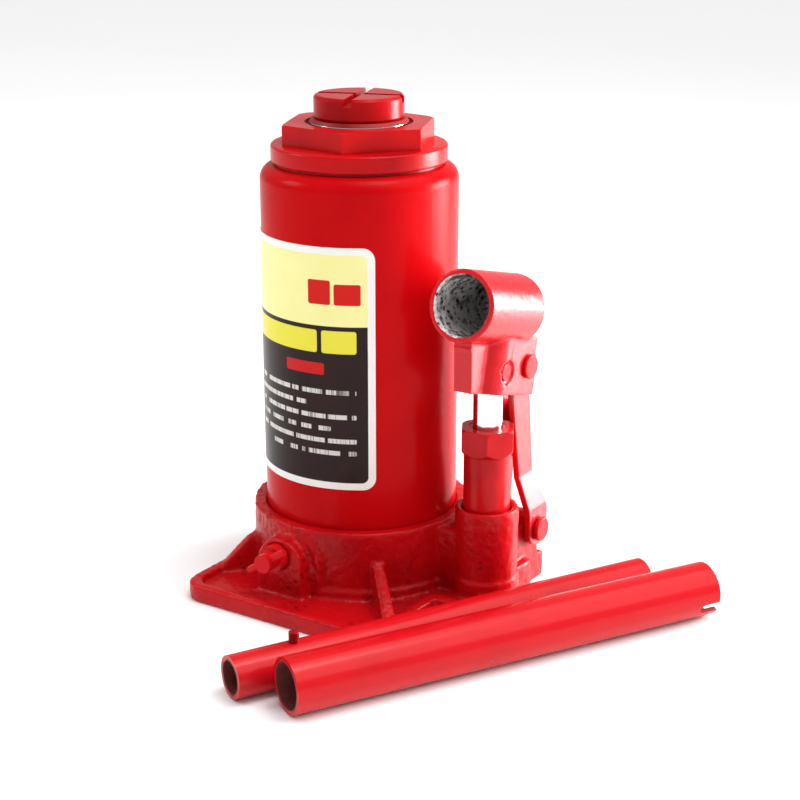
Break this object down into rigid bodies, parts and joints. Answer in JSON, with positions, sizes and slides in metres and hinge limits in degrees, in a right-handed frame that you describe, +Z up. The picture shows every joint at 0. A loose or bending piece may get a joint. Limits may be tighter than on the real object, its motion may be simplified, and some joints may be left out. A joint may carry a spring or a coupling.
{
  "type": "hydraulic bottle jack",
  "caption": "Hydraulic bottle jack with a round oil tank on a ribbed cast foot, a hand pump with a tilting handle socket, a release valve, a screw-out saddle and loose handle tubes.",
  "frame": {"origin": "on the axis of the ram, at the floor under the foot", "axes": "+Z up along the ram; -Y towards the side the handle and the release valve face; +X towards the side that carries the pump"},
  "size_m": [0.1977, 0.1763, 0.203],
  "materials": {
    "red_casting": "glossy red enamel over rough sand-cast iron",
    "red_paint": "glossy red enamel",
    "black_rubber": "moulded nitrile rubber",
    "urethane": "amber-green polyurethane",
    "chrome_steel": "hard chrome plated and ground steel",
    "bare_steel": "machined steel with a film of oil",
    "bronze": "turned bronze",
    "copper_seal": "annealed copper",
    "label_vinyl": "printed and laminated sheet",
    "brass_mesh": "woven wire mesh"
  },
  "bodies": {
    "jack_body": {"base_casting": "red_casting", "reservoir_tube": "red_paint", "tank_nut": "red_paint", "ram_cylinder": "bare_steel", "cylinder_gasket": "copper_seal", "tank_lower_seal": "black_rubber", "tank_upper_seal": "black_rubber", "gland_seal": "black_rubber", "wiper_ring": "black_rubber", "label": "label_vinyl", "oil_filler_plug": "black_rubber", "pump_barrel": "red_paint", "barrel_gasket": "copper_seal", "pump_seal": "black_rubber", "plunger_wiper": "black_rubber", "inlet_ball": "bare_steel", "outlet_ball": "bare_steel", "outlet_spring": "bare_steel", "outlet_plug": "bare_steel", "relief_ball": "bare_steel", "relief_spring": "bare_steel", "relief_screw": "bare_steel", "release_ball": "bare_steel", "intake_filter": "brass_mesh", "lug_pin": "red_paint", "lug_pin_clip": "bare_steel"},
    "ram": {"ram": "chrome_steel", "piston_ring": "bronze", "piston_seal": "urethane", "piston_circlip": "bare_steel"},
    "screw_stop": {"screw_stop_ring": "bare_steel"},
    "extension_screw": {"extension_screw": "red_paint"},
    "plunger": {"plunger": "chrome_steel"},
    "link": {"link_yoke": "red_paint"},
    "handle_socket": {"handle_socket": "red_paint", "plunger_pin": "red_paint", "link_pin": "red_paint"},
    "release_seal": {"release_oring": "black_rubber"},
    "release_screw": {"release_screw": "red_paint", "release_cross_pin": "red_paint"},
    "handle_large": {"handle_tube_large": "red_paint"},
    "handle_small": {"handle_tube_small": "red_paint", "handle_stud": "red_paint"}
  },
  "joints": [
    {"name": "ram_lift", "type": "slide", "parent": "jack_body", "child": "ram", "axis": [0, 0, 1], "range_m": [0, 0.125]},
    {"name": "screw_travel", "type": "slide", "parent": "ram", "child": "screw_stop", "axis": [0, 0, 1], "range_m": [0, 0.06]},
    {"name": "screw_turn", "type": "hinge", "parent": "screw_stop", "child": "extension_screw", "pos_m": [0, 0, 0.15], "axis": [0, 0, 1], "range_deg": [0, 4325]},
    {"name": "pump_stroke", "type": "slide", "parent": "jack_body", "child": "plunger", "axis": [0, 0, 1], "range_m": [-0.0065, 0.0065]},
    {"name": "socket_tilt", "type": "hinge", "parent": "plunger", "child": "handle_socket", "pos_m": [0.0615, 0, 0.0993], "axis": [1, 0, 0], "range_deg": [-23, 23]},
    {"name": "link_swing", "type": "hinge", "parent": "jack_body", "child": "link", "pos_m": [0.0615, 0.026, 0.025], "axis": [1, 0, 0], "range_deg": [-1, 1]},
    {"name": "valve_travel", "type": "slide", "parent": "jack_body", "child": "release_seal", "axis": [0, -1, 0], "range_m": [0, 0.00225]},
    {"name": "valve_turn", "type": "hinge", "parent": "release_seal", "child": "release_screw", "pos_m": [-0.0065, -0.05, 0.0215], "axis": [0, -1, 0], "range_deg": [0, 541]},
    {"name": "large_tube_lift", "type": "slide", "parent": "jack_body", "child": "handle_large", "axis": [0, 0, 1], "range_m": [0, 0.09]},
    {"name": "small_tube_lift", "type": "slide", "parent": "jack_body", "child": "handle_small", "axis": [0, 0, 1], "range_m": [0, 0.09]}
  ],
  "couplings": [
    {"joint": "screw_turn", "follows": "screw_travel", "rad_per_m": 1256.6},
    {"joint": "valve_turn", "follows": "valve_travel", "rad_per_m": 4188.8},
    {"joint": "socket_tilt", "follows": "pump_stroke", "rad_per_m": -58.4},
    {"joint": "link_swing", "follows": "pump_stroke", "rad_per_m": 1.3}
  ]
}
